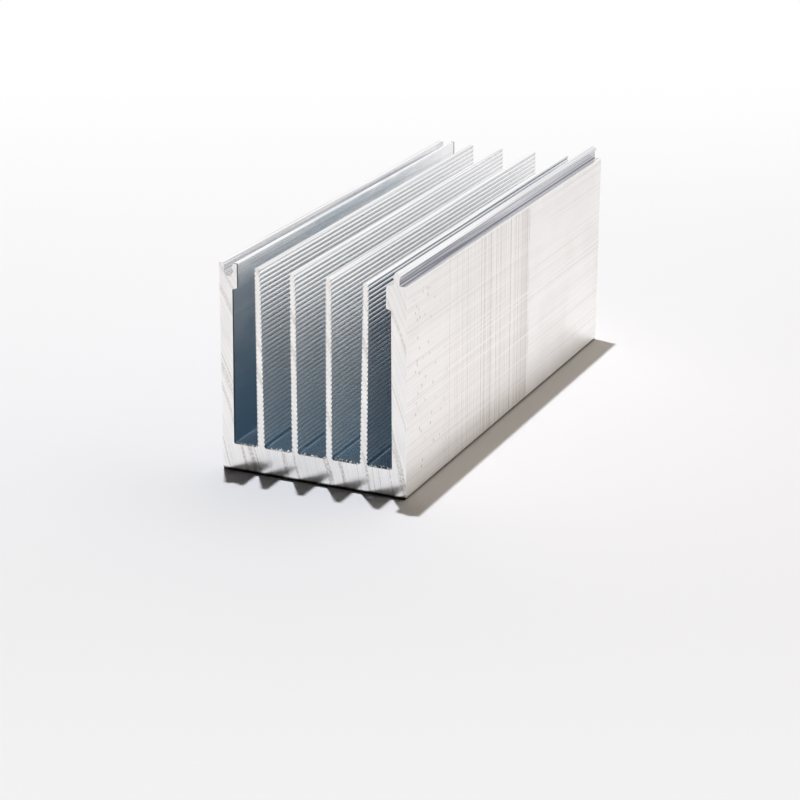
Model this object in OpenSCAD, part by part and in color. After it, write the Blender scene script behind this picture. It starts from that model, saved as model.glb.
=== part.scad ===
// Extruded aluminium heat sink, cut from a long bar.
// Its section is a trough: a thick base, two side walls and a row of upright
// fins, each ridged on both faces. One wall ends in a tongue and the other in
// a groove, so that a second length, turned over on top, closes it to a duct.
// The section lies in X and Z, and the bar runs along Y. The origin is at the
// middle of the underside.

/* [Overall] */
// Width over the two side walls
width = 37; // [33:0.5:60]
// Length of the cut piece
length = 100; // [20:1:300]
// Thickness of the base under the channels
base_t = 5.35; // [2:0.05:8]
// Radius of the two long bottom edges
bottom_r = 0.3; // [0.1:0.05:1]

/* [Side walls] */
// Height of both walls, from the underside to the groove's lips on the left
// and to the tongue's shoulder on the right
wall_h = 40; // [30:0.1:60]
// Thickness of the grooved wall where it meets the base
left_foot_t = 2.3; // [1.5:0.05:4]
// Thickness of the grooved wall just under its edge block
left_top_t = 2.6; // [1.5:0.05:4]
// Thickness of the tongued wall where it meets the base
right_foot_t = 2.75; // [1.5:0.05:4]
// Thickness of the tongued wall just under its edge block
right_top_t = 3; // [1.5:0.05:4]

/* [Edge blocks] */
// How far each block stands in from its wall
block_in = 0.98; // [0.5:0.02:1.6]
// Height of the block on the grooved wall
left_block_h = 4.6; // [3.4:0.1:8]
// Height of the block on the tongued wall
right_block_h = 4.4; // [2:0.1:8]
// How far each block's underside falls towards its wall
block_fall = 0.28; // [0:0.02:0.8]
// Radius of the long edges of the blocks
block_r = 0.3; // [0.1:0.05:0.4]

/* [Fins] */
// Number of fins
fin_count = 4; // [2:1:4]
// Distance from fin to fin at the channel floor
fin_pitch = 6.9; // [5:0.1:7.4]
// How far the fin tips stay under the tops of the walls
tip_drop = 0.3; // [0:0.05:10]
// Thickness of the inner fins at the floor, over their ridges
inner_foot_t = 1.3; // [1:0.05:2]
// Thickness of the first and last fin at the floor, over their ridges
outer_foot_t = 1.5; // [1:0.05:2]
// Thickness of every fin at its tip, over its ridges
tip_t = 1.15; // [0.9:0.05:2]
// Sideways lean of the first fin at its tip
first_lean = -0.2; // [-0.6:0.05:0.6]
// Sideways lean of the last fin at its tip
last_lean = 0.5; // [-0.6:0.05:0.6]
// Radius of the long edges of each fin tip
tip_r = 0.22; // [0.05:0.01:0.3]
// Radius in the corners of each channel floor
root_r = 0.35; // [0.1:0.05:0.8]

/* [Ridges] */
// Distance from ridge to ridge up each face of a fin
ridge_pitch = 0.88; // [0.7:0.01:2]
// Depth of the sharp valleys between the ridges
ridge_depth = 0.28; // [0.05:0.01:0.3]

/* [Tongue and groove] */
// Distance of the joint's middle line from each outer face
joint_inset = 1.92; // [1.8:0.02:2.2]
// Height of the tongue above its shoulder
tongue_h = 2.35; // [2:0.05:3]
// Width of the tongue's neck
neck_w = 1.02; // [0.7:0.02:1.2]
// Width of the tongue's head
head_w = 1.64; // [1.3:0.02:1.8]
// Width of the flat on top of the tongue
crest_w = 0.62; // [0.3:0.02:0.9]
// Height of the widest point on the tongue's inner side, its hook
hook_h = 1.42; // [1.2:0.02:1.6]
// Height of the widest point on the tongue's outer side
nose_h = 1.86; // [1.7:0.02:1.95]
// Clearance between a tongue and the groove it slides into
joint_gap = 0.12; // [0.05:0.01:0.2]
// Depth of the groove's lip that the hook is held under
lip_t = 0.72; // [0.4:0.02:0.8]

/* [Hidden] */

// Flat steps along one ridge, and along one rounded edge
ridge_steps = 4;
edge_steps = 4;
// How deep a piece of the section is sunk into the one that carries it
seat = 0.6;

fin_h = wall_h - base_t - tip_drop;
// The circle whose arc spans one ridge
ridge_r = (pow(ridge_pitch / 2, 2) + pow(ridge_depth, 2)) / (2 * ridge_depth);
ridge_count = floor((fin_h - root_r - tip_r) / ridge_pitch);
// The fins stand midway between the feet of the two walls
fins_mid = (left_foot_t - right_foot_t) / 2;

// Points of an arc about c, from angle a0 to angle a1
function arc(c, r, a0, a1) =
    [for (i = [0:edge_steps]) let (a = a0 + (a1 - a0) * i / edge_steps) c + r * [cos(a), sin(a)]];

function backwards(points) = [for (i = [len(points) - 1:-1:0]) points[i]];

// Rise of a ridge over its valleys, at part s of the way across it
function ridge_rise(s) =
    sqrt(pow(ridge_r, 2) - pow((s - 0.5) * ridge_pitch, 2)) - ridge_r + ridge_depth;

function is_outer(k) = k == 0 || k == fin_count - 1;
function foot_t(k) = is_outer(k) ? outer_foot_t : inner_foot_t;
function foot_x(k) = fins_mid + (k - (fin_count - 1) / 2) * fin_pitch;

// The lean grows with the square of a fin's place in the row
function lean(k) = first_lean + (last_lean - first_lean) * pow(k / (fin_count - 1), 2);

// Middle line and half thickness of fin k at height h above the floor
function fin_mid(k, h) = lean(k) * h / fin_h;
function fin_half(k, h) = (foot_t(k) + (tip_t - foot_t(k)) * h / fin_h) / 2;

// One ridged face of fin k, upwards from the floor: side is 1 or -1
function ridged_face(k, side) = concat(
    [for (i = [0:ridge_count - 1], j = [0:ridge_steps - 1])
        let (s = j / ridge_steps, h = root_r + (i + s) * ridge_pitch)
        [fin_mid(k, h) + side * (fin_half(k, h) - ridge_depth + ridge_rise(s)), h]],
    [let (h = root_r + ridge_count * ridge_pitch)
        [fin_mid(k, h) + side * (fin_half(k, h) - ridge_depth), h]]);

// The rounded tip of fin k, from its right edge to its left
function fin_tip(k) = concat(
    arc([lean(k) + tip_t / 2 - tip_r, fin_h - tip_r], tip_r, 0, 90),
    arc([lean(k) - tip_t / 2 + tip_r, fin_h - tip_r], tip_r, 90, 180));

module fin_section(k) {
    half = foot_t(k) / 2;
    polygon(concat(
        [[half, -seat], [half, root_r]],
        ridged_face(k, 1),
        fin_tip(k),
        backwards(ridged_face(k, -1)),
        [[-half, root_r], [-half, -seat]]));
}

// Concave fillet that fills the corner at the origin, towards +X and +Y
module root_fillet() {
    difference() {
        translate([-seat / 2, -seat / 2]) square(root_r + seat / 2);
        translate([root_r, root_r]) circle(r = root_r, $fn = 48);
    }
}

// A base plate with its two bottom edges rounded
module base_section() {
    inset = width / 2 - bottom_r;
    polygon(concat(
        arc([inset, bottom_r], bottom_r, -90, 0),
        [[width / 2, base_t], [-width / 2, base_t]],
        arc([-inset, bottom_r], bottom_r, 180, 270)));
}

// The walls, tongue and groove are drawn with x running inwards from the
// outer face, and y up. This wall carries a block under top_z.
module wall_section(foot_t, top_t, top_z, block_h) {
    block_z = top_z - block_h;
    polygon([
        [0, base_t - seat],
        [foot_t, base_t - seat],
        [foot_t, base_t],
        [top_t, block_z - block_fall],
        [top_t, top_z - block_r],
        [0, top_z - block_r]]);
}

// A block that thickens the top of a wall, with its inner edges rounded
module block_section(top_t, top_z, block_h, top_r) {
    inner = top_t + block_in;
    block_z = top_z - block_h;
    polygon(concat(
        [[0, top_z], [0, block_z], [top_t - seat, block_z - block_fall], [top_t, block_z - block_fall]],
        arc([inner - block_r, block_z + block_r], block_r, -75, 0),
        arc([inner - top_r, top_z - top_r], top_r, 0, 90)));
}

// The tongue, standing on its shoulder: its hook is on the inner side
module tongue_section() {
    head_rise = (head_w - neck_w) / 2;
    polygon([
        [-neck_w / 2, -seat],
        [neck_w / 2, -seat],
        [neck_w / 2, hook_h - head_rise],
        [head_w / 2, hook_h],
        [crest_w / 2, tongue_h],
        [-crest_w / 2, tongue_h],
        [-head_w / 2, nose_h],
        [-neck_w / 2, nose_h - 2 * head_rise]]);
}

// The space that a turned over tongue takes, cut down from the lips
module groove_section() {
    head = head_w / 2 + joint_gap;
    neck = neck_w / 2 + joint_gap;
    crest = crest_w / 2 + joint_gap;
    floor_z = -tongue_h - joint_gap;
    polygon([
        [-head - joint_gap, seat],
        [-head - joint_gap, 0],
        [-head, -2 * joint_gap],
        [-head, -nose_h],
        [-crest, floor_z],
        [crest, floor_z],
        [head, -hook_h],
        [head, -hook_h + joint_gap],
        [neck, -lip_t],
        [head, 0],
        [head, seat]]);
}

module left_wall_section() {
    translate([-width / 2, 0]) difference() {
        union() {
            wall_section(left_foot_t, left_top_t, wall_h, left_block_h);
            block_section(left_top_t, wall_h, left_block_h, block_r / 2);
        }
        translate([joint_inset, wall_h]) groove_section();
    }
}

module right_wall_section() {
    translate([width / 2, 0]) mirror([1, 0]) {
        wall_section(right_foot_t, right_top_t, wall_h, right_block_h);
        block_section(right_top_t, wall_h, right_block_h, 2 * block_r);
        translate([joint_inset, wall_h]) tongue_section();
    }
}

module floor_fillets() {
    translate([-width / 2 + left_foot_t, base_t]) root_fillet();
    translate([width / 2 - right_foot_t, base_t]) mirror([1, 0]) root_fillet();
    for (k = [0:fin_count - 1]) {
        translate([foot_x(k) + foot_t(k) / 2, base_t]) root_fillet();
        translate([foot_x(k) - foot_t(k) / 2, base_t]) mirror([1, 0]) root_fillet();
    }
}

module bar_section() {
    base_section();
    left_wall_section();
    right_wall_section();
    floor_fillets();
    for (k = [0:fin_count - 1]) translate([foot_x(k), base_t]) fin_section(k);
}

module heat_sink() {
    color([0.82, 0.83, 0.85])
        rotate([90, 0, 0]) linear_extrude(length, center = true) bar_section();
}

heat_sink();
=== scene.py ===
"""An extruded aluminium heat sink on a pale table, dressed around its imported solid.

The bar is one closed mesh: its section is drawn here from the same sizes as the
solid, with finer ridges, and a geometry node tree sweeps it along Y. A second
piece holds the small burrs that the saw left on the channel floors.
"""

import math

import bmesh
import bpy
from mathutils import Matrix, Vector

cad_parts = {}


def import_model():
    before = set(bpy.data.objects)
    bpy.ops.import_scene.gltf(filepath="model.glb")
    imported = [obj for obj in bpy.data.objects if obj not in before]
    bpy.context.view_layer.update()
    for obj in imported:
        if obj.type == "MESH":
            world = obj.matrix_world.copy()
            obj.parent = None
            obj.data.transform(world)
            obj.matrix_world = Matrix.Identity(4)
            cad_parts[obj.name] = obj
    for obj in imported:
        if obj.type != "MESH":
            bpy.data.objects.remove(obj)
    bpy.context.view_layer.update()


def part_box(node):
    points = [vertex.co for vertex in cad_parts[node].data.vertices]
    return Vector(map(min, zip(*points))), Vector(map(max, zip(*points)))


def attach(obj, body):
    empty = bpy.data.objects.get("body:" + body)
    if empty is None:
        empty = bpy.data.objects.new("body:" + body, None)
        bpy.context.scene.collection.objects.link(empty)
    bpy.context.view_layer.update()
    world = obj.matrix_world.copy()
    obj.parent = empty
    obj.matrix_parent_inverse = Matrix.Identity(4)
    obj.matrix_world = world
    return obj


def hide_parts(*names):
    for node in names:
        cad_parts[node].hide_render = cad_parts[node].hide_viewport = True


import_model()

MM = 0.001
LOW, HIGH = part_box("heat_sink")

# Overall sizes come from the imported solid. The rest of the section is in metres.
WIDTH = HIGH.x - LOW.x
LENGTH = HIGH.y - LOW.y
TONGUE_H = 2.35 * MM
WALL_H = HIGH.z - TONGUE_H
FLOOR_Z = 5.35 * MM
TIP_DROP = 0.3 * MM
FIN_H = WALL_H - TIP_DROP - FLOOR_Z


# ---------------------------------------------------------------- the section

LEFT_WALL = {"foot": 2.3 * MM, "top": 2.6 * MM, "block": 4.6 * MM, "top_r": 0.15 * MM}
RIGHT_WALL = {"foot": 2.75 * MM, "top": 3.0 * MM, "block": 4.4 * MM, "top_r": 0.6 * MM}
BLOCK_IN = 0.98 * MM
BLOCK_FALL = 0.28 * MM
BLOCK_R = 0.3 * MM
BOTTOM_R = 0.42 * MM
OUTER_EDGE_R = 0.12 * MM
ROOT_R = 0.35 * MM

FIN_COUNT = 4
FIN_PITCH = 6.9 * MM
FIN_FEET = (1.5 * MM, 1.3 * MM, 1.3 * MM, 1.5 * MM)
FIN_TIP = 1.15 * MM
FIN_TIP_R = 0.22 * MM
FIN_LEANS = (-0.2 * MM, -0.12 * MM, 0.11 * MM, 0.5 * MM)
# How far the tip of each fin has strayed sideways at the far end of the bar
FIN_BOWS = (-0.25 * MM, -0.45 * MM, -0.05 * MM, 0.0)
RIDGE_PITCH = 0.88 * MM
RIDGE_DEPTH = 0.28 * MM
RIDGE_STEPS = 8
# How many times the section is set down along the bar
STATIONS = 25

JOINT_INSET = 1.92 * MM
NECK_W = 1.02 * MM
HEAD_W = 1.64 * MM
CREST_W = 0.62 * MM
HOOK_H = 1.42 * MM
NOSE_H = 1.86 * MM
JOINT_GAP = 0.12 * MM
LIP_T = 0.72 * MM

# Part of a fin's height at which its tip finish starts
TIP_RISE = 1 - FIN_TIP_R / FIN_H * 1.02
# Points below this height belong to the root fillets and channel floors
ROOT_TOP = FLOOR_Z + ROOT_R * 1.01
# Faces that meet at more than this angle keep a sharp edge
SHARP_ANGLE = math.radians(32)

# Which finish a stretch of the section has, in the order of FINISH_INPUTS
OUTSIDE, EDGE, CHANNEL, FIN, UNDER_EDGE = 0, 1, 2, 3, 4


def arc(x, z, radius, start, end, steps=6):
    """Points on a circle about (x, z), with its angles in degrees."""
    angles = [math.radians(start + (end - start) * i / steps) for i in range(steps + 1)]
    return [(x + radius * math.cos(a), z + radius * math.sin(a)) for a in angles]


def ridge_rise(part):
    """Height of a ridge over its valleys, at part of the way across it."""
    radius = ((RIDGE_PITCH / 2) ** 2 + RIDGE_DEPTH ** 2) / (2 * RIDGE_DEPTH)
    return math.sqrt(radius ** 2 - ((part - 0.5) * RIDGE_PITCH) ** 2) - radius + RIDGE_DEPTH


def fin_foot_x(index):
    middle = (LEFT_WALL["foot"] - RIGHT_WALL["foot"]) / 2
    return middle + (index - (FIN_COUNT - 1) / 2) * FIN_PITCH


def ridged_face(index, side):
    """One face of a fin, upwards from the top of its root fillet."""
    foot, lean = FIN_FEET[index], FIN_LEANS[index]
    count = int((FIN_H - ROOT_R - FIN_TIP_R) / RIDGE_PITCH + 1e-6)
    points = []
    for step in range(count * RIDGE_STEPS + 1):
        part = (step % RIDGE_STEPS) / RIDGE_STEPS
        height = ROOT_R + step * RIDGE_PITCH / RIDGE_STEPS
        half = (foot + (FIN_TIP - foot) * height / FIN_H) / 2
        x = lean * height / FIN_H + side * (half - RIDGE_DEPTH + ridge_rise(part))
        points.append((fin_foot_x(index) + x, FLOOR_Z + height))
    return points


def fin_outline(index):
    """A fin from its right foot over the tip to its left foot, with both root fillets."""
    centre, half = fin_foot_x(index), FIN_FEET[index] / 2
    tip = centre + FIN_LEANS[index]
    tip_z = FLOOR_Z + FIN_H - FIN_TIP_R
    reach = FIN_TIP / 2 - FIN_TIP_R
    root_z = FLOOR_Z + ROOT_R
    return (
        arc(centre + half + ROOT_R, root_z, ROOT_R, 270, 180)
        + ridged_face(index, 1)
        + arc(tip + reach, tip_z, FIN_TIP_R, 0, 90)
        + arc(tip - reach, tip_z, FIN_TIP_R, 90, 180)
        + ridged_face(index, -1)[::-1]
        + arc(centre - half - ROOT_R, root_z, ROOT_R, 0, -90)
    )


def block_and_inner_face(wall, top_z):
    """From the inner top edge of a wall down to its root fillet, in from the outer face."""
    inner = wall["top"] + BLOCK_IN
    block_z = top_z - wall["block"]
    return (
        arc(inner - wall["top_r"], top_z - wall["top_r"], wall["top_r"], 90, 0)
        + arc(inner - BLOCK_R, block_z + BLOCK_R, BLOCK_R, 0, -75)
        + [(wall["top"], block_z - BLOCK_FALL)]
        + arc(wall["foot"] + ROOT_R, FLOOR_Z + ROOT_R, ROOT_R, 180, 270)
    )


def tongue():
    """The tongue about its middle line, from its outer root to its inner root."""
    rise = (HEAD_W - NECK_W) / 2
    return [
        (-NECK_W / 2, 0),
        (-NECK_W / 2, NOSE_H - 2 * rise),
        (-HEAD_W / 2, NOSE_H),
        (-CREST_W / 2, TONGUE_H),
        (CREST_W / 2, TONGUE_H),
        (HEAD_W / 2, HOOK_H),
        (NECK_W / 2, HOOK_H - rise),
        (NECK_W / 2, 0),
    ]


def groove():
    """The groove about its middle line, from its inner lip to its outer lip."""
    head, neck = HEAD_W / 2 + JOINT_GAP, NECK_W / 2 + JOINT_GAP
    crest, depth = CREST_W / 2 + JOINT_GAP, TONGUE_H + JOINT_GAP
    return [
        (head, 0),
        (neck, -LIP_T),
        (head, JOINT_GAP - HOOK_H),
        (head, -HOOK_H),
        (crest, -depth),
        (-crest, -depth),
        (-head, -NOSE_H),
        (-head, -2 * JOINT_GAP),
        (-head - JOINT_GAP, 0),
    ]


def section():
    """The whole outline, counterclockwise from the left bottom edge, as (x, z, finish, bow)."""
    half = WIDTH / 2
    outline = []

    def add(points, finish, bow=None):
        for x, z in points:
            rise = max(0.0, (z - FLOOR_Z) / FIN_H)
            shown = finish
            if bow is not None and rise > TIP_RISE:
                shown = EDGE
            if finish == FIN and z < ROOT_TOP:
                shown = CHANNEL
            outline.append((x, z, shown, (bow or 0.0) * rise ** 1.5))

    def from_right(points):
        return [(half - x, z) for x, z in points]

    def from_left(points):
        return [(x - half, z) for x, z in points]

    add(arc(-half + BOTTOM_R, BOTTOM_R, BOTTOM_R, 180, 270)[:-1], UNDER_EDGE)
    add([(-half + BOTTOM_R, 0)], OUTSIDE)
    add(arc(half - BOTTOM_R, BOTTOM_R, BOTTOM_R, -90, 0)[:-1], UNDER_EDGE)
    add([(half, BOTTOM_R)], OUTSIDE)
    edge = OUTER_EDGE_R
    add(arc(half - edge, WALL_H - edge, edge, 0, 90), EDGE)
    add(from_right([(JOINT_INSET + x, WALL_H + z) for x, z in tongue()]), EDGE)
    add(from_right(block_and_inner_face(RIGHT_WALL, WALL_H)), CHANNEL)
    for index in reversed(range(FIN_COUNT)):
        add(fin_outline(index), FIN, FIN_BOWS[index])
    add(from_left(block_and_inner_face(LEFT_WALL, WALL_H))[::-1], CHANNEL)
    add(from_left([(JOINT_INSET + x, WALL_H + z) for x, z in groove()]), EDGE)
    add(arc(-half + edge, WALL_H - edge, edge, 90, 180), EDGE)
    return outline


# ------------------------------------------------------------- node tree helpers


def add_node(tree, kind, **settings):
    node = tree.nodes.new(kind)
    for name, value in settings.items():
        setattr(node, name, value)
    return node


def put(tree, socket, value):
    """Links a socket to an output, or sets its value."""
    if isinstance(value, bpy.types.NodeSocket):
        tree.links.new(value, socket)
    else:
        socket.default_value = value


def math_node(tree, operation, *values):
    node = add_node(tree, "ShaderNodeMath", operation=operation)
    for socket, value in zip(node.inputs, values):
        put(tree, socket, value)
    return node.outputs[0]


# ------------------------------------------------------------------ the sweep


FINISH_INPUTS = ("Outside finish", "Edge finish", "Channel finish", "Fin finish", "Under edge finish")


def sweep_tree():
    """Sweeps a closed outline of mesh edges along Y, with the fins strayed at the far end."""
    tree = bpy.data.node_groups.new("sweep_section", "GeometryNodeTree")
    face = tree.interface
    face.new_socket("Outline", in_out="INPUT", socket_type="NodeSocketGeometry")
    face.new_socket("Length", in_out="INPUT", socket_type="NodeSocketFloat")
    face.new_socket("Stations", in_out="INPUT", socket_type="NodeSocketInt")
    for name in FINISH_INPUTS:
        face.new_socket(name, in_out="INPUT", socket_type="NodeSocketMaterial")
    face.new_socket("Bar", in_out="OUTPUT", socket_type="NodeSocketGeometry")
    source = add_node(tree, "NodeGroupInput").outputs
    size = add_node(tree, "GeometryNodeAttributeDomainSize", component="MESH")
    put(tree, size.inputs[0], source["Outline"])
    count = size.outputs["Point Count"]

    grid = add_node(tree, "GeometryNodeMeshGrid")
    columns = math_node(tree, "ADD", count, 1.0)
    put(tree, grid.inputs["Size X"], source["Length"])
    put(tree, grid.inputs["Vertices X"], source["Stations"])
    put(tree, grid.inputs["Vertices Y"], columns)
    index = add_node(tree, "GeometryNodeInputIndex").outputs[0]
    point_place = math_node(tree, "MODULO", math_node(tree, "MODULO", index, columns), count)
    face_place = math_node(tree, "MODULO", index, count)

    def sampled(value, data_type, place=point_place):
        node = add_node(tree, "GeometryNodeSampleIndex", data_type=data_type, domain="POINT")
        put(tree, node.inputs["Geometry"], source["Outline"])
        put(tree, node.inputs["Value"], value)
        put(tree, node.inputs["Index"], place)
        return node.outputs["Value"]

    def named(name):
        node = add_node(tree, "GeometryNodeInputNamedAttribute", data_type="FLOAT")
        node.inputs["Name"].default_value = name
        return node.outputs["Attribute"]

    position = add_node(tree, "GeometryNodeInputPosition").outputs[0]
    along = add_node(tree, "ShaderNodeSeparateXYZ")
    put(tree, along.inputs[0], position)
    outline_place = add_node(tree, "ShaderNodeSeparateXYZ")
    put(tree, outline_place.inputs[0], sampled(position, "FLOAT_VECTOR"))
    part = math_node(tree, "ADD", math_node(tree, "DIVIDE", along.outputs["X"], source["Length"]), 0.5)
    growth = math_node(tree, "POWER", part, 2.0)
    stray = math_node(tree, "MULTIPLY", sampled(named("bow"), "FLOAT"), growth)
    placed = add_node(tree, "ShaderNodeCombineXYZ")
    put(tree, placed.inputs["X"], math_node(tree, "ADD", outline_place.outputs["X"], stray))
    put(tree, placed.inputs["Y"], along.outputs["X"])
    put(tree, placed.inputs["Z"], outline_place.outputs["Z"])

    finish = add_node(tree, "GeometryNodeStoreNamedAttribute", data_type="FLOAT", domain="FACE")
    put(tree, finish.inputs["Geometry"], grid.outputs["Mesh"])
    finish.inputs["Name"].default_value = "finish"
    put(tree, finish.inputs["Value"], sampled(named("finish"), "FLOAT", face_place))
    moved = add_node(tree, "GeometryNodeSetPosition")
    put(tree, moved.inputs["Geometry"], finish.outputs["Geometry"])
    put(tree, moved.inputs["Position"], placed.outputs[0])
    merged = add_node(tree, "GeometryNodeMergeByDistance")
    put(tree, merged.inputs["Geometry"], moved.outputs[0])
    merged.inputs["Distance"].default_value = 1e-7

    geometry = add_node(tree, "GeometryNodeRealizeInstances").outputs[0]
    put(tree, geometry.node.inputs[0], merged.outputs[0])
    for value, name in enumerate(FINISH_INPUTS):
        from_here = add_node(tree, "FunctionNodeCompare", data_type="FLOAT", operation="GREATER_THAN")
        put(tree, from_here.inputs[0], named("finish"))
        from_here.inputs[1].default_value = value - 0.5
        painted = add_node(tree, "GeometryNodeSetMaterial")
        put(tree, painted.inputs["Geometry"], geometry)
        put(tree, painted.inputs["Selection"], from_here.outputs[0])
        put(tree, painted.inputs["Material"], source[name])
        geometry = painted.outputs[0]
    put(tree, add_node(tree, "NodeGroupOutput").inputs[0], geometry)
    return tree


def set_inputs(modifier, values):
    """Sets a tree's named inputs by their identifiers."""
    items = modifier.node_group.interface.items_tree
    sockets = {item.name: item.identifier for item in items if item.in_out == "INPUT"}
    for name, value in values.items():
        modifier[sockets[name]] = value


def outline_object(points):
    mesh = bpy.data.meshes.new("outline")
    edges = [(i, (i + 1) % len(points)) for i in range(len(points))]
    mesh.from_pydata([(x, 0, z) for x, z, _, _ in points], edges, [])
    for place, name in ((2, "finish"), (3, "bow")):
        layer = mesh.attributes.new(name, "FLOAT", "POINT")
        layer.data.foreach_set("value", [p[place] for p in points])
    outline = bpy.data.objects.new("outline", mesh)
    bpy.context.scene.collection.objects.link(outline)
    return outline


def plain_mesh(carrier, name):
    """Turns what a modifier makes into a plain mesh object, and removes its carrier."""
    bpy.context.view_layer.update()
    evaluated = carrier.evaluated_get(bpy.context.evaluated_depsgraph_get())
    mesh = bpy.data.meshes.new_from_object(evaluated)
    mesh.name = name
    bpy.data.objects.remove(carrier)
    piece = bpy.data.objects.new(name, mesh)
    bpy.context.scene.collection.objects.link(piece)
    return piece


def close_ends(piece, end_finish):
    """Caps both cut ends, marks the sharp edges and points the faces outwards."""
    mesh = piece.data
    mesh.materials.append(end_finish)
    work = bmesh.new()
    work.from_mesh(mesh)
    rims = [e for e in work.edges if e.is_boundary]
    caps = bmesh.ops.holes_fill(work, edges=rims, sides=0)["faces"]
    for cap in caps:
        cap.material_index = len(mesh.materials) - 1
    bmesh.ops.recalc_face_normals(work, faces=work.faces)
    for f in work.faces:
        f.smooth = True
    for e in work.edges:
        e.smooth = e.is_manifold and e.calc_face_angle(0.0) < SHARP_ANGLE
    work.to_mesh(mesh)
    work.free()


def bar(finishes):
    """The whole bar as one closed mesh."""
    carrier = outline_object(section())
    sweep = carrier.modifiers.new("sweep", "NODES")
    sweep.node_group = sweep_tree()
    set_inputs(sweep, {
        "Length": LENGTH,
        "Stations": STATIONS,
        **{name: finishes[name] for name in FINISH_INPUTS},
    })
    piece = plain_mesh(carrier, "heat_sink_bar")
    close_ends(piece, finishes["cut"])
    return piece


# -------------------------------------------------------------------- the burrs


def burr_tree():
    """Small torn slivers that stand close together along each edge of the carrier."""
    tree = bpy.data.node_groups.new("saw_burrs", "GeometryNodeTree")
    face = tree.interface
    face.new_socket("Edges", in_out="INPUT", socket_type="NodeSocketGeometry")
    for name in ("Spacing", "Height"):
        face.new_socket(name, in_out="INPUT", socket_type="NodeSocketFloat")
    face.new_socket("Seed", in_out="INPUT", socket_type="NodeSocketInt")
    face.new_socket("Finish", in_out="INPUT", socket_type="NodeSocketMaterial")
    face.new_socket("Burrs", in_out="OUTPUT", socket_type="NodeSocketGeometry")
    source = add_node(tree, "NodeGroupInput").outputs
    lines = add_node(tree, "GeometryNodeMeshToCurve")
    put(tree, lines.inputs[0], source["Edges"])
    places = add_node(tree, "GeometryNodeCurveToPoints", mode="LENGTH")
    put(tree, places.inputs["Curve"], lines.outputs[0])
    put(tree, places.inputs["Length"], source["Spacing"])

    def drawn_lots(low, high, seed_step):
        node = add_node(tree, "FunctionNodeRandomValue", data_type="FLOAT_VECTOR")
        node.inputs["Min"].default_value = low
        node.inputs["Max"].default_value = high
        put(tree, node.inputs["Seed"], math_node(tree, "ADD", source["Seed"], seed_step))
        return node.outputs[0]

    sliver = add_node(tree, "GeometryNodeMeshCone")
    sliver.inputs["Vertices"].default_value = 5
    put(tree, sliver.inputs["Radius Bottom"], math_node(tree, "MULTIPLY", source["Height"], 0.34))
    put(tree, sliver.inputs["Radius Top"], math_node(tree, "MULTIPLY", source["Height"], 0.05))
    put(tree, sliver.inputs["Depth"], source["Height"])
    stood = add_node(tree, "GeometryNodeInstanceOnPoints")
    put(tree, stood.inputs["Points"], places.outputs["Points"])
    put(tree, stood.inputs["Instance"], sliver.outputs["Mesh"])
    put(tree, stood.inputs["Rotation"], drawn_lots((-0.1, -0.5, 0.0), (0.3, 0.5, 6.28), 1))
    put(tree, stood.inputs["Scale"], drawn_lots((0.5, 0.5, 0.15), (1.1, 1.1, 1.1), 2))
    whole = add_node(tree, "GeometryNodeRealizeInstances")
    put(tree, whole.inputs[0], stood.outputs[0])
    painted = add_node(tree, "GeometryNodeSetMaterial")
    put(tree, painted.inputs["Geometry"], whole.outputs[0])
    put(tree, painted.inputs["Material"], source["Finish"])
    put(tree, add_node(tree, "NodeGroupOutput").inputs[0], painted.outputs[0])
    return tree


BURR_H = 0.5 * MM
BURR_SPACING = 0.26 * MM
BURR_SEED = 7


def burrs(finish):
    """Burrs along the channel floors, at both cut ends."""
    feet = [LOW.x + LEFT_WALL["foot"]]
    for index in range(FIN_COUNT):
        feet += [fin_foot_x(index) + side * FIN_FEET[index] / 2 for side in (-1, 1)]
    feet.append(HIGH.x - RIGHT_WALL["foot"])
    points = []
    for y in (LOW.y + 0.5 * BURR_H, HIGH.y - 0.5 * BURR_H):
        for start, end in zip(feet[::2], feet[1::2]):
            points += [(start + ROOT_R, y, FLOOR_Z), (end - ROOT_R, y, FLOOR_Z)]
    mesh = bpy.data.meshes.new("floor_edges")
    mesh.from_pydata(points, [(i, i + 1) for i in range(0, len(points), 2)], [])
    carrier = bpy.data.objects.new("floor_edges", mesh)
    bpy.context.scene.collection.objects.link(carrier)
    torn = carrier.modifiers.new("burrs", "NODES")
    torn.node_group = burr_tree()
    set_inputs(torn, {"Spacing": BURR_SPACING, "Height": BURR_H, "Seed": BURR_SEED, "Finish": finish})
    return plain_mesh(carrier, "saw_burrs")


# ------------------------------------------------------------------ materials


def stretched(tree, per_mm, at=(0, 0, 0), turn=(0, 0, 0)):
    """Object coordinates with so many units to a millimetre along each axis."""
    mapping = add_node(tree, "ShaderNodeMapping")
    put(tree, mapping.inputs["Vector"], add_node(tree, "ShaderNodeTexCoord").outputs["Object"])
    mapping.inputs["Scale"].default_value = [n / MM for n in per_mm]
    mapping.inputs["Location"].default_value = at
    mapping.inputs["Rotation"].default_value = [math.radians(a) for a in turn]
    return mapping.outputs[0]


def place_mm(tree):
    """X, Y and Z in millimetres."""
    split = add_node(tree, "ShaderNodeSeparateXYZ")
    put(tree, split.inputs[0], stretched(tree, (1, 1, 1)))
    return split.outputs[0], split.outputs[1], split.outputs[2]


def noise(tree, vector, detail=2.0, roughness=0.5):
    node = add_node(tree, "ShaderNodeTexNoise")
    put(tree, node.inputs["Vector"], vector)
    node.inputs["Scale"].default_value = 1.0
    node.inputs["Detail"].default_value = detail
    node.inputs["Roughness"].default_value = roughness
    return node.outputs[0]


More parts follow.
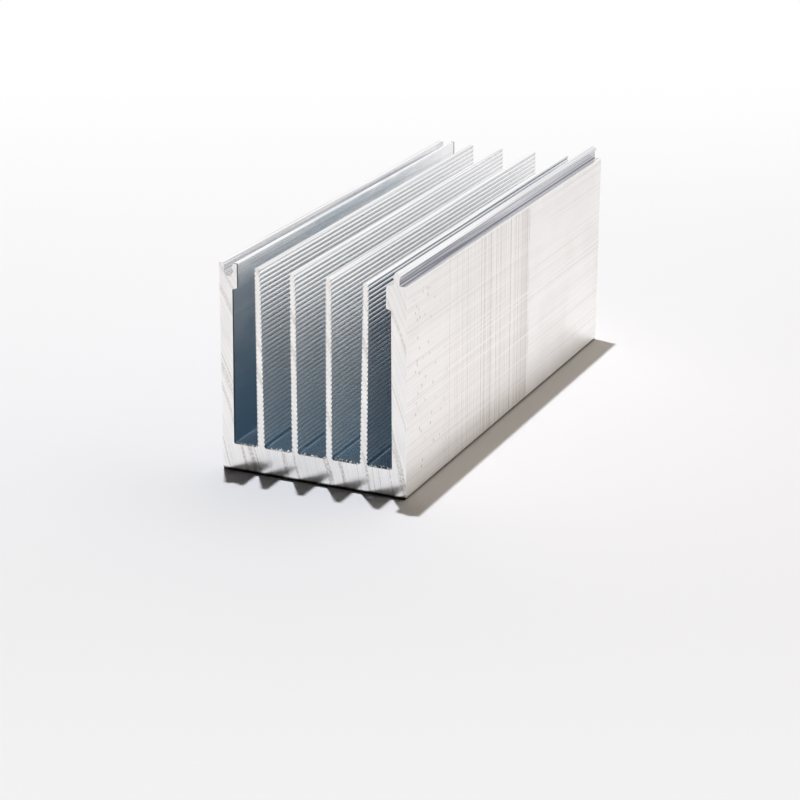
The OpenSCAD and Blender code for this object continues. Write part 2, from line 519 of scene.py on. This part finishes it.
def line_noise(tree, value, detail=2.0, roughness=0.5):
    """Noise that only changes with one value."""
    node = add_node(tree, "ShaderNodeTexNoise", noise_dimensions="1D")
    put(tree, node.inputs["W"], value)
    node.inputs["Scale"].default_value = 1.0
    node.inputs["Detail"].default_value = detail
    node.inputs["Roughness"].default_value = roughness
    return node.outputs[0]


def between(tree, value, low, high, out_low=0.0, out_high=1.0):
    """Smooth step from out_low at low to out_high at high."""
    node = add_node(tree, "ShaderNodeMapRange", interpolation_type="SMOOTHSTEP")
    put(tree, node.inputs["Value"], value)
    node.inputs["From Min"].default_value = low
    node.inputs["From Max"].default_value = high
    node.inputs["To Min"].default_value = out_low
    node.inputs["To Max"].default_value = out_high
    return node.outputs[0]


def times(tree, *values):
    result = values[0]
    for value in values[1:]:
        result = math_node(tree, "MULTIPLY", result, value)
    return result


def plus(tree, *values):
    result = values[0]
    for value in values[1:]:
        result = math_node(tree, "ADD", result, value)
    return result


def mixed_color(tree, share, first, second):
    node = add_node(tree, "ShaderNodeMix", data_type="RGBA")
    for socket, value in ((node.inputs[0], share), (node.inputs[6], first), (node.inputs[7], second)):
        if isinstance(value, tuple) and len(value) == 3:
            value = (*value, 1)
        put(tree, socket, value)
    return node.outputs[2]


def bump(tree, shader, height, depth):
    node = add_node(tree, "ShaderNodeBump")
    node.inputs["Distance"].default_value = depth
    put(tree, node.inputs["Height"], height)
    put(tree, shader.inputs["Normal"], node.outputs[0])


def aluminium(name, roughness, drawn=0.0, grain=(0, 1, 0)):
    """Bare aluminium. A drawn one has grooves along its grain that are too fine to see."""
    material = bpy.data.materials.new(name)
    material.use_nodes = True
    tree = material.node_tree
    shader = tree.nodes["Principled BSDF"]
    shader.inputs["Metallic"].default_value = 1.0
    shader.inputs["Roughness"].default_value = roughness
    if drawn:
        shader.inputs["Anisotropic"].default_value = drawn
        across = add_node(tree, "ShaderNodeVectorMath", operation="CROSS_PRODUCT")
        put(tree, across.inputs[0], add_node(tree, "ShaderNodeNewGeometry").outputs["Normal"])
        across.inputs[1].default_value = grain
        put(tree, shader.inputs["Tangent"], across.outputs[0])
    return material, tree, shader


def mill_finish():
    """Outer faces: die lines along the bar, handling scratches across it, and pits near one end."""
    material, tree, shader = aluminium("mill_finish", 0.42, drawn=0.8)
    x, y, z = place_mm(tree)
    # Rubbing and scratches are on the right side: X moves them nearly off the left one
    along = plus(tree, y, times(tree, math_node(tree, "SUBTRACT", x, 18.5), 2.2))
    fine = noise(tree, stretched(tree, (3.2, 0.012, 3.2)), 3.0)
    broad = noise(tree, stretched(tree, (0.55, 0.008, 0.55), at=(7, 3, 1)), 2.0)
    across = plus(tree, times(tree, along, 1.5), times(tree, z, 0.02))
    scratches = line_noise(tree, across, 4.0, 0.7)
    patches = noise(tree, stretched(tree, (0.2, 0.11, 0.07), at=(3, 1, 9)), 2.0)

    color = mixed_color(tree, between(tree, patches, 0.35, 0.7), (1.0, 0.985, 0.975), (0.94, 0.925, 0.915))
    wobble = plus(tree, along, times(tree, patches, 4.0))
    # The front part has been rubbed, and ends in an edge across the side
    rubbed = between(tree, wobble, 10.6, 11.6, 1.0, 0.0)
    color = mixed_color(tree, times(tree, rubbed, 0.35), color, (0.93, 0.90, 0.875))
    strip = times(tree, between(tree, wobble, 5.0, 8.0), between(tree, wobble, 11.0, 11.6, 1.0, 0.0))
    color = mixed_color(tree, times(tree, strip, 0.8), color, (0.83, 0.79, 0.785))
    strong = times(tree, between(tree, along, -18.5, -16.0), rubbed)
    weak = times(tree, between(tree, along, -37.0, -30.0), rubbed, 0.45)
    band = math_node(tree, "MAXIMUM", strong, weak)
    dark = between(tree, scratches, 0.50, 0.40)
    light = between(tree, scratches, 0.56, 0.64)
    color = mixed_color(tree, times(tree, band, dark, 0.9), color, (0.68, 0.63, 0.59))
    color = mixed_color(tree, times(tree, band, light, 0.9), color, (1.0, 1.0, 1.0))
    color = mixed_color(tree, between(tree, fine, 0.53, 0.68, 0.0, 0.4), color, (0.76, 0.74, 0.72))
    color = mixed_color(tree, between(tree, fine, 0.46, 0.34, 0.0, 0.8), color, (1.0, 1.0, 1.0))
    color = mixed_color(tree, between(tree, broad, 0.5, 0.7, 0.0, 0.3), color, (0.84, 0.82, 0.80))

    pits = add_node(tree, "ShaderNodeTexVoronoi")
    put(tree, pits.inputs["Vector"], stretched(tree, (0.3, 0.95, 0.5), turn=(12, 0, 0)))
    pits.inputs["Scale"].default_value = 1.0
    spread = noise(tree, stretched(tree, (0.2, 0.5, 0.16), at=(5, 5, 2)), 2.0)
    pitted = times(
        tree,
        between(tree, pits.outputs["Distance"], 0.24, 0.10),
        between(tree, along, -49.0, -46.0),
        between(tree, along, -29.0, -36.0),
        between(tree, spread, 0.48, 0.56),
    )
    color = mixed_color(tree, times(tree, pitted, 0.6), color, (0.40, 0.36, 0.33))
    put(tree, shader.inputs["Base Color"], color)
    height = plus(tree, fine, times(tree, scratches, band, 0.8), times(tree, pitted, -1.2))
    bump(tree, shader, height, 0.005 * MM)
    return material


def cut_edge_shade(tree, y):
    """The strip of a channel face next to a cut end, which gets painted shade."""
    return between(tree, math_node(tree, "ABSOLUTE", y), 49.35, 49.7)


def channel_finish():
    """Walls and floors of the channels. Their blue is painted shade and reflection, which deepens towards
    the floor.
    """
    material, tree, shader = aluminium("channel_finish", 0.26, drawn=0.9)
    _, y, depth = place_mm(tree)
    lines = noise(tree, stretched(tree, (5.0, 0.02, 5.0)), 2.0)
    haze = noise(tree, stretched(tree, (0.3, 0.06, 0.25), at=(2, 8, 4)), 2.0)
    # Painted shade: darker and bluer towards the channel floor
    color = mixed_color(tree, between(tree, depth, 8.0, 38.0), (0.60, 0.75, 0.86), (0.98, 0.99, 1.0))
    color = mixed_color(tree, between(tree, lines, 0.5, 0.66, 0.0, 0.5), color, (0.56, 0.60, 0.64))
    color = mixed_color(tree, between(tree, haze, 0.42, 0.62, 0.0, 0.4), color, (0.56, 0.64, 0.72))
    # Painted shade along the strip next to each cut end
    color = mixed_color(tree, times(tree, cut_edge_shade(tree, y), 0.8), color, (0.10, 0.10, 0.10))
    put(tree, shader.inputs["Base Color"], color)
    bump(tree, shader, lines, 0.006 * MM)
    return material


def fin_finish():
    """Fin faces. The underside of each ridge gets painted shade, darker and bluer lower down, to keep the
    ridges clear low down.
    """
    material, tree, shader = aluminium("fin_finish", 0.27, drawn=0.85, grain=(0, 0, 1))
    x, y, depth = place_mm(tree)
    first_ridge = (FLOOR_Z + ROOT_R) / MM
    turns = math_node(tree, "DIVIDE", math_node(tree, "SUBTRACT", depth, first_ridge), RIDGE_PITCH / MM)
    wave = math_node(tree, "COSINE", times(tree, math_node(tree, "SUBTRACT", turns, 0.14), 2 * math.pi))
    # Where the painted shade on the underside of each ridge goes
    under = between(tree, wave, -0.1, 0.8)
    lines = noise(tree, stretched(tree, (5.0, 0.015, 5.0), at=(3, 3, 3)), 2.0)
    # Painted shade: the faces turn bluer with depth
    color = mixed_color(tree, between(tree, depth, 5.0, 34.0), (0.93, 0.98, 1.0), (1.0, 1.0, 1.0))
    color = mixed_color(tree, between(tree, lines, 0.52, 0.66, 0.0, 0.3), color, (0.70, 0.76, 0.82))
    # Colour and strength of the painted shade on the ridge undersides, darker lower down
    low = mixed_color(tree, between(tree, depth, 6.0, 24.0), (0.22, 0.34, 0.44), (0.30, 0.35, 0.40))
    share = between(tree, depth, 22.0, 37.0, 0.75, 0.25)
    # The last fin is painted darker, to stand for the shade in its channel
    last = between(tree, x, 9.9, 10.3)
    color = mixed_color(tree, times(tree, last, 0.25), color, (0.50, 0.58, 0.66))
    low = mixed_color(tree, last, low, (0.07, 0.10, 0.14))
    share = math_node(tree, "MAXIMUM", share, times(tree, last, 0.8))
    # Painted shade on the ridge undersides
    color = mixed_color(tree, times(tree, under, share), color, low)
    # Painted shade on the ridge undersides next to each cut end
    color = mixed_color(tree, times(tree, cut_edge_shade(tree, y), under, 0.8), color, (0.05, 0.05, 0.05))
    put(tree, shader.inputs["Base Color"], color)
    return material


def under_edge():
    """The two rounded bottom edges, with a painted shadow line where they meet the table."""
    material, tree, shader = aluminium("under_edge", 0.5)
    painted_shadow_noise = noise(tree, stretched(tree, (1.0, 0.15, 1.0)), 3.0)
    # Painted shadow: near black, broken up a little by noise
    color = mixed_color(tree, between(tree, painted_shadow_noise, 0.35, 0.7), (0.006, 0.006, 0.006), (0.05, 0.045, 0.04))
    put(tree, shader.inputs["Base Color"], color)
    bump(tree, shader, painted_shadow_noise, 0.01 * MM)
    return material


def edge_finish():
    """Lips, shoulders and fin tips, burnished by the die. Round the tongue the grey bands are painted
    reflection, greyer further back, with painted highlights on its crest and the outer shoulder edge.
    """
    material, tree, shader = aluminium("drawn_edge", 0.24, drawn=0.6)
    x, y, z = place_mm(tree)
    bands = noise(tree, stretched(tree, (3.4, 0.012, 3.4), at=(1, 4, 2)), 3.0, 0.6)
    strong = noise(tree, stretched(tree, (2.6, 0.006, 2.6), at=(9, 2, 6)), 3.0, 0.75)
    light = mixed_color(tree, between(tree, bands, 0.46, 0.62), (0.96, 0.96, 0.965), (0.66, 0.66, 0.68))
    # Grey bands round the tongue: painted reflection
    grey = mixed_color(tree, between(tree, strong, 0.45, 0.56), (0.88, 0.88, 0.91), (0.30, 0.30, 0.34))
    painted_shoulder_light = mixed_color(tree, between(tree, y, 4.0, 16.0, 0.0, 0.35), grey, (0.50, 0.51, 0.54))
    # Painted highlights along the tongue's crest and the outer shoulder edge
    crest = between(tree, z, (HIGH.z - 0.6 * MM) / MM, (HIGH.z - 0.1 * MM) / MM, 0.0, 0.8)
    painted_shoulder_light = mixed_color(tree, math_node(tree, "MAXIMUM", crest, between(tree, x, 17.6, 18.1)), painted_shoulder_light, light)
    color = mixed_color(tree, between(tree, x, 14.0, 14.4), light, painted_shoulder_light)
    put(tree, shader.inputs["Base Color"], color)
    bump(tree, shader, bands, 0.01 * MM)
    return material


# Middle of the round saw, in millimetres
SAW_CENTRE = (-137, 0, -30)


def saw_cut():
    """Cut ends: arcs left by the teeth of a round saw, with a smeared track every few arcs."""
    material, tree, shader = aluminium("saw_cut", 0.2)
    off = add_node(tree, "ShaderNodeVectorMath", operation="SUBTRACT")
    put(tree, off.inputs[0], stretched(tree, (1, 0, 1)))
    off.inputs[1].default_value = SAW_CENTRE
    radius = add_node(tree, "ShaderNodeVectorMath", operation="LENGTH")
    put(tree, radius.inputs[0], off.outputs[0])
    reach = radius.outputs["Value"]
    z = place_mm(tree)[2]
    patches = noise(tree, stretched(tree, (0.12, 0.2, 0.12), at=(4, 0, 1)), 2.0)
    bent = plus(tree, reach, times(tree, patches, 1.2))
    teeth = line_noise(tree, times(tree, bent, 3.4), 3.0, 0.6)
    tracks = line_noise(tree, times(tree, bent, 0.62), 2.0, 0.75)
    specks = noise(tree, stretched(tree, (2.4, 1.0, 2.4)), 3.0, 0.7)
    color = mixed_color(tree, between(tree, patches, 0.4, 0.65), (1.0, 0.99, 0.97), (0.95, 0.945, 0.93))
    color = mixed_color(tree, between(tree, teeth, 0.53, 0.66, 0.0, 0.5), color, (0.80, 0.77, 0.73))
    low = between(tree, z, 9.0, 2.0, 0.55, 1.0)
    track = times(tree, between(tree, tracks, 0.55, 0.62), low, between(tree, specks, 0.36, 0.56))
    color = mixed_color(tree, times(tree, track, 0.75), color, (0.50, 0.46, 0.41))
    # A painted dark line stands for the shadow where the end meets the table
    color = mixed_color(tree, between(tree, z, 0.75, 0.35, 0.0, 0.97), color, (0.02, 0.015, 0.012))
    put(tree, shader.inputs["Base Color"], color)
    bump(tree, shader, plus(tree, teeth, times(tree, specks, 0.4)), 0.01 * MM)
    return material


def burr_finish():
    """Torn metal, bright in places and dark in others."""
    material, tree, shader = aluminium("burr_finish", 0.3)
    torn = noise(tree, stretched(tree, (2.5, 2.5, 2.5)), 2.0)
    color = mixed_color(tree, between(tree, torn, 0.45, 0.55), (1.0, 1.0, 1.0), (0.05, 0.05, 0.05))
    put(tree, shader.inputs["Base Color"], color)
    bump(tree, shader, torn, 0.02 * MM)
    return material


# -------------------------------------------------------------- floor and light

# The table turns pure white for the camera between these distances, in metres: behind, and nearer
WHITE_BEHIND = (0.02, 0.34)
WHITE_NEARER = (-0.09, -0.2)


def floor_finish():
    """Matt white table, paler towards the back of the room and towards its front edge."""
    material = bpy.data.materials.new("white_table")
    material.use_nodes = True
    tree = material.node_tree
    shader = tree.nodes["Principled BSDF"]
    shader.inputs["Base Color"].default_value = (0.85, 0.85, 0.875, 1)
    shader.inputs["Roughness"].default_value = 0.7
    shader.inputs["Specular IOR Level"].default_value = 0.0
    place = add_node(tree, "ShaderNodeSeparateXYZ")
    put(tree, place.inputs[0], add_node(tree, "ShaderNodeTexCoord").outputs["Object"])
    aside = math_node(tree, "MULTIPLY", place.outputs["X"], 0.5)
    back = math_node(tree, "SUBTRACT", place.outputs["Y"], aside)
    fade = add_node(tree, "ShaderNodeMapRange", interpolation_type="SMOOTHSTEP")
    put(tree, fade.inputs["Value"], back)
    fade.inputs["From Min"].default_value = WHITE_BEHIND[0]
    fade.inputs["From Max"].default_value = WHITE_BEHIND[1]
    seen = add_node(tree, "ShaderNodeLightPath").outputs["Is Camera Ray"]
    white = add_node(tree, "ShaderNodeEmission")
    mixed = add_node(tree, "ShaderNodeMixShader")
    near = add_node(tree, "ShaderNodeMapRange", interpolation_type="SMOOTHSTEP")
    put(tree, near.inputs["Value"], back)
    near.inputs["From Min"].default_value = WHITE_NEARER[0]
    near.inputs["From Max"].default_value = WHITE_NEARER[1]
    near.inputs["To Max"].default_value = 0.4
    paler = math_node(tree, "MAXIMUM", fade.outputs[0], near.outputs[0])
    put(tree, mixed.inputs[0], math_node(tree, "MULTIPLY", paler, seen))
    put(tree, mixed.inputs[1], shader.outputs[0])
    put(tree, mixed.inputs[2], white.outputs[0])
    put(tree, tree.nodes["Material Output"].inputs["Surface"], mixed.outputs[0])
    return material


def floor():
    """A wide flat table under the bar."""
    mesh = bpy.data.meshes.new("table")
    reach = 4.0
    corners = [(-reach, -reach, 0), (reach, -reach, 0), (reach, reach, 0), (-reach, reach, 0)]
    mesh.from_pydata(corners, [], [(0, 1, 2, 3)])
    mesh.materials.append(floor_finish())
    table = bpy.data.objects.new("table", mesh)
    bpy.context.scene.collection.objects.link(table)


# The window stands behind the bar on its right, and the room in front is dim
WINDOW_TOWARDS = Vector((0.3, 1.0, 0.3)).normalized()
WINDOW_LIGHT = 1.15
ROOM_LIGHT = 0.01


def world():
    """White to look at and in reflections. Soft light comes mostly from a window."""
    surroundings = bpy.data.worlds.new("white_room")
    surroundings.use_nodes = True
    tree = surroundings.node_tree
    tree.nodes.clear()
    path = add_node(tree, "ShaderNodeLightPath").outputs
    seen = math_node(tree, "MAXIMUM", path["Is Camera Ray"], path["Is Glossy Ray"])
    seen = math_node(tree, "MAXIMUM", seen, path["Is Transmission Ray"])
    direct = math_node(tree, "LESS_THAN", path["Diffuse Depth"], 0.5)
    seen = math_node(tree, "MULTIPLY", seen, direct)
    towards = add_node(tree, "ShaderNodeVectorMath", operation="DOT_PRODUCT")
    put(tree, towards.inputs[0], add_node(tree, "ShaderNodeTexCoord").outputs["Generated"])
    towards.inputs[1].default_value = WINDOW_TOWARDS
    window = add_node(tree, "ShaderNodeMapRange", interpolation_type="SMOOTHSTEP")
    put(tree, window.inputs["Value"], towards.outputs["Value"])
    window.inputs["From Min"].default_value = 0.15
    window.inputs["From Max"].default_value = 1.0
    window.inputs["To Min"].default_value = ROOM_LIGHT
    window.inputs["To Max"].default_value = WINDOW_LIGHT
    fill = add_node(tree, "ShaderNodeBackground")
    fill.inputs["Color"].default_value = (1.0, 0.9, 0.76, 1)
    put(tree, fill.inputs["Strength"], window.outputs[0])
    white = add_node(tree, "ShaderNodeBackground")
    white.inputs["Color"].default_value = (1, 1, 1, 1)
    mixed = add_node(tree, "ShaderNodeMixShader")
    put(tree, mixed.inputs[0], seen)
    put(tree, mixed.inputs[1], fill.outputs[0])
    put(tree, mixed.inputs[2], white.outputs[0])
    put(tree, add_node(tree, "ShaderNodeOutputWorld").inputs[0], mixed.outputs[0])
    bpy.context.scene.world = surroundings


LAMP_AT = Vector((-0.092, 0.078, 0.89))
LAMP_RADIUS = 0.011
LAMP_POWER = 26.0


def lamp():
    """A small lamp high behind the bar on its left, which throws the sharp shadows."""
    light = bpy.data.lights.new("overhead_lamp", "POINT")
    light.energy = LAMP_POWER
    light.shadow_soft_size = LAMP_RADIUS
    light.color = (0.95, 0.97, 1.0)
    lamp_object = bpy.data.objects.new("overhead_lamp", light)
    lamp_object.location = LAMP_AT
    bpy.context.scene.collection.objects.link(lamp_object)


AZIMUTH, ELEVATION, ROLL = 24.12, 20.07, 0.22
LENS_MM = 107.75
DISTANCE = 473.2 * MM
AIM = Vector((-1.59, -7.86, 2.14)) * MM


def camera():
    """Looks at the bar from in front on the right, and a little from above."""
    turn, rise, roll = (math.radians(a) for a in (AZIMUTH, ELEVATION, ROLL))
    back = Vector((math.sin(turn) * math.cos(rise), -math.cos(turn) * math.cos(rise), math.sin(rise)))
    right = Vector((0, 0, 1)).cross(back).normalized()
    up = back.cross(right)
    tilted = right * math.cos(roll) + up * math.sin(roll)
    data = bpy.data.cameras.new("camera")
    data.lens = LENS_MM
    data.sensor_width = 36
    data.clip_start = 0.01
    eye = bpy.data.objects.new("camera", data)
    turned = Matrix((tilted, back.cross(tilted), back)).transposed()
    eye.matrix_world = Matrix.Translation(AIM + back * DISTANCE) @ turned.to_4x4()
    bpy.context.scene.collection.objects.link(eye)
    bpy.context.scene.camera = eye


camera()
floor()
world()
lamp()

FINISHES = {
    "Outside finish": mill_finish(),
    "Edge finish": edge_finish(),
    "Channel finish": channel_finish(),
    "Fin finish": fin_finish(),
    "Under edge finish": under_edge(),
    "cut": saw_cut(),
}

sink = bar(FINISHES)
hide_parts("heat_sink")
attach(sink, "root")
slivers = burrs(burr_finish())
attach(slivers, "root")

scene = bpy.context.scene
scene.view_settings.view_transform = "Standard"
scene.cycles.max_bounces = 24
scene.cycles.glossy_bounces = 24
